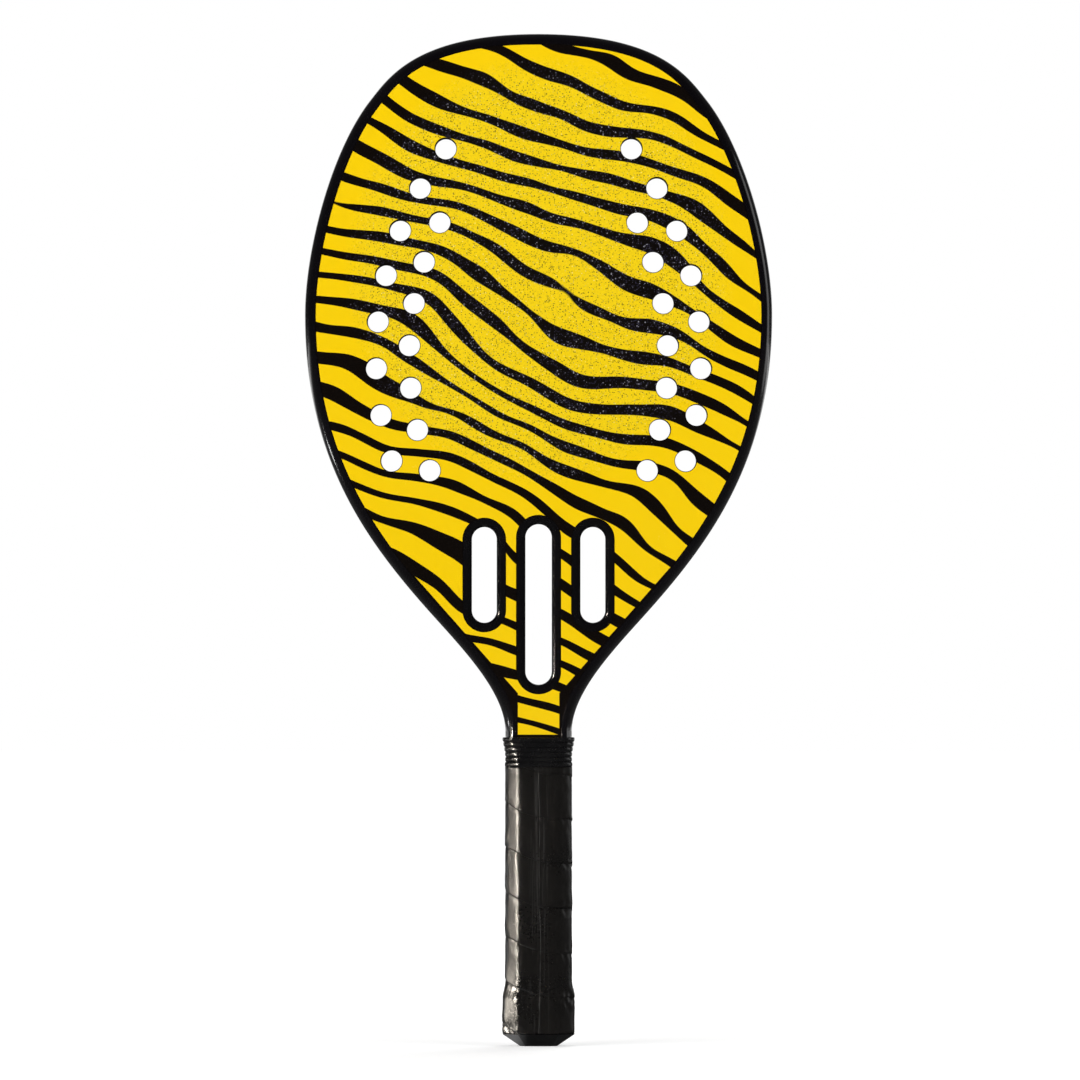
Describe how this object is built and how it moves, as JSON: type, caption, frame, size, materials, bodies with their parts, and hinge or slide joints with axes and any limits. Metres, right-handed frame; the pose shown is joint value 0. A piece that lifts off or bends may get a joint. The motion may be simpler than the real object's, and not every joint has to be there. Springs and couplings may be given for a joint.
{
  "type": "beach tennis racket",
  "caption": "Stringless beach tennis racket: drilled face on a rounded hollow frame, slotted throat, ribbed collar and wrapped octagonal handle.",
  "frame": {"origin": "centre of the butt's flat end, under the centre of the bounding box", "axes": "+Z from the butt to the top of the head, front face looking along -Y, +X to the right seen from the front"},
  "size_m": [0.2308, 0.0316, 0.4999],
  "materials": {
    "frame": "gloss black lacquer",
    "foam": "matte closed-cell foam",
    "print": "gloss printed sheet with a gritty hitting area",
    "rim": "gloss black moulding",
    "pallet": "matte moulded foam",
    "cap": "fine matte moulding",
    "staple": "plain wire",
    "grip": "soft black synthetic leather",
    "collar": "semi-gloss ribbed rubber"
  },
  "bodies": {
    "root": {"frame_tube": "frame", "foam_core": "foam", "face_sheet_front": "print", "face_sheet_back": "print", "slot_rim_left": "rim", "slot_rim_centre": "rim", "slot_rim_right": "rim", "handle_pallet_front": "pallet", "handle_pallet_back": "pallet", "butt_cap": "cap", "butt_staple_right": "staple", "butt_staple_left": "staple", "grip_tape": "grip", "rubber_collar": "collar"}
  },
  "joints": []
}
